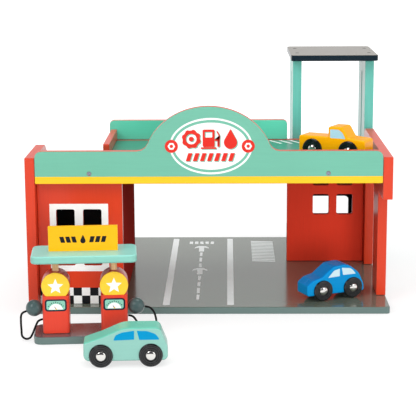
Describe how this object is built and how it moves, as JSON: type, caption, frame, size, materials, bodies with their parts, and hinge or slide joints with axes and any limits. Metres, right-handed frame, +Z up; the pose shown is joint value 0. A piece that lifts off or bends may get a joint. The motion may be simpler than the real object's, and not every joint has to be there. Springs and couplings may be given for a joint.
{
  "type": "toy service station",
  "caption": "Painted wooden toy service station with an arched front, upper deck, ramp, car lift, corded fuel pump island and rolling toy cars.",
  "frame": {"origin": "middle of the base plate's underside, where the station stands", "axes": "+Z up, -Y to the front of the station, +X to the right as seen from the front"},
  "size_m": [0.4554, 0.6038, 0.3],
  "materials": {
    "red_paint": "gloss lacquer paint",
    "teal_paint": "gloss lacquer paint",
    "grey_paint": "gloss lacquer paint",
    "navy_paint": "satin lacquer paint",
    "yellow_paint": "gloss lacquer paint",
    "mint_paint": "gloss lacquer paint",
    "blue_paint": "gloss lacquer paint",
    "orange_paint": "gloss lacquer paint",
    "bead_paint": "satin stain",
    "birch_wood": "bare, sanded",
    "slate_paint": "satin lacquer paint",
    "steel": "bright plated steel",
    "cord": "round elastic cord"
  },
  "bodies": {
    "station": {"base_plate": "grey_paint", "left_wall": "red_paint", "right_wall": "red_paint", "shop_front": "red_paint", "shop_partition": "red_paint", "shop_back": "navy_paint", "fascia": "teal_paint", "deck": "teal_paint", "back_rail": "teal_paint", "left_rail": "red_paint", "window_wall": "red_paint", "ramp": "red_paint", "ramp_wall": "red_paint", "lift_panel_left": "teal_paint", "lift_panel_right": "teal_paint", "lift_roof": "navy_paint", "lift_back_wall": "navy_paint", "roof_screw_front_left": "steel", "roof_screw_rear_left": "steel", "roof_screw_front_right": "steel", "roof_screw_rear_right": "steel", "fascia_screw_left": "steel", "fascia_screw_right": "steel"},
    "lift": {"lift_car": "navy_paint", "lift_handle_left": "navy_paint", "lift_handle_right": "navy_paint"},
    "island": {"island_base": "grey_paint", "pump_left_body": "red_paint", "pump_right_body": "red_paint", "pump_left_head": "red_paint", "pump_right_head": "red_paint", "canopy_post_left": "birch_wood", "canopy_post_right": "birch_wood", "canopy": "mint_paint", "sign_board": "yellow_paint", "hose_left": "cord", "hose_right": "cord"},
    "left_nozzle": {"nozzle_left": "bead_paint"},
    "right_nozzle": {"nozzle_right": "bead_paint"},
    "green_car": {"green_car_body": "mint_paint"},
    "green_car_front": {"green_car_front_axle": "steel", "green_car_front_left_wheel": "slate_paint", "green_car_front_right_wheel": "slate_paint"},
    "green_car_rear": {"green_car_rear_axle": "steel", "green_car_rear_left_wheel": "slate_paint", "green_car_rear_right_wheel": "slate_paint"},
    "blue_car": {"blue_car_body": "blue_paint"},
    "blue_car_front": {"blue_car_front_axle": "steel", "blue_car_front_left_wheel": "slate_paint", "blue_car_front_right_wheel": "slate_paint"},
    "blue_car_rear": {"blue_car_rear_axle": "steel", "blue_car_rear_left_wheel": "slate_paint", "blue_car_rear_right_wheel": "slate_paint"},
    "truck": {"truck_body": "orange_paint"},
    "truck_front": {"truck_front_axle": "steel", "truck_front_left_wheel": "slate_paint", "truck_front_right_wheel": "slate_paint"},
    "truck_rear": {"truck_rear_axle": "steel", "truck_rear_left_wheel": "slate_paint", "truck_rear_right_wheel": "slate_paint"}
  },
  "joints": [
    {"name": "lift_travel", "type": "slide", "parent": "station", "child": "lift", "axis": [0, 0, 1], "range_m": [0, 0.2267]},
    {"name": "island_shift", "type": "slide", "parent": "station", "child": "island", "axis": [0, 1, 0], "range_m": [0, 0.04]},
    {"name": "nozzle_left_pull", "type": "slide", "parent": "island", "child": "left_nozzle", "axis": [-0.9969, -0.0785, 0], "range_m": [0, 0.012], "deforming": ["hose_left"]},
    {"name": "nozzle_right_pull", "type": "slide", "parent": "island", "child": "right_nozzle", "axis": [0.9969, 0.0785, 0], "range_m": [0, 0.012], "deforming": ["hose_right"]},
    {"name": "green_car_roll", "type": "slide", "parent": "station", "child": "green_car", "axis": [-0.9981, -0.061, 0], "range_m": [-0.05, 0.05]},
    {"name": "green_car_front_spin", "type": "hinge", "parent": "green_car", "child": "green_car_front", "pos_m": [-0.117, -0.39076, 0.0133], "axis": [0.061, -0.9981, 0], "range_deg": [-230, 230]},
    {"name": "green_car_rear_spin", "type": "hinge", "parent": "green_car", "child": "green_car_rear", "pos_m": [-0.0624, -0.38742, 0.0133], "axis": [0.061, -0.9981, 0], "range_deg": [-230, 230]},
    {"name": "blue_car_roll", "type": "slide", "parent": "station", "child": "blue_car", "axis": [-0.9114, -0.4115, 0], "range_m": [-0.008, 0.03]},
    {"name": "blue_car_front_spin", "type": "hinge", "parent": "blue_car", "child": "blue_car_front", "pos_m": [0.13739, -0.15449, 0.0226], "axis": [0.4115, -0.9114, 0], "range_deg": [-40, 140]},
    {"name": "blue_car_rear_spin", "type": "hinge", "parent": "blue_car", "child": "blue_car_rear", "pos_m": [0.17612, -0.137, 0.0226], "axis": [0.4115, -0.9114, 0], "range_deg": [-40, 140]},
    {"name": "truck_roll", "type": "slide", "parent": "station", "child": "truck", "axis": [0.8862, -0.4633, 0], "range_m": [-0.05, 0.003]},
    {"name": "truck_front_spin", "type": "hinge", "parent": "truck", "child": "truck_front", "pos_m": [0.18071, -0.13056, 0.1961], "axis": [0.4633, 0.8862, 0], "range_deg": [-230, 20]},
    {"name": "truck_rear_spin", "type": "hinge", "parent": "truck", "child": "truck_rear", "pos_m": [0.13728, -0.10786, 0.1961], "axis": [0.4633, 0.8862, 0], "range_deg": [-230, 20]}
  ],
  "couplings": [
    {"joint": "green_car_front_spin", "follows": "green_car_roll", "rad_per_m": 75.188},
    {"joint": "green_car_rear_spin", "follows": "green_car_roll", "rad_per_m": 75.188},
    {"joint": "blue_car_front_spin", "follows": "blue_car_roll", "rad_per_m": 75.188},
    {"joint": "blue_car_rear_spin", "follows": "blue_car_roll", "rad_per_m": 75.188},
    {"joint": "truck_front_spin", "follows": "truck_roll", "rad_per_m": 75.188},
    {"joint": "truck_rear_spin", "follows": "truck_roll", "rad_per_m": 75.188}
  ]
}
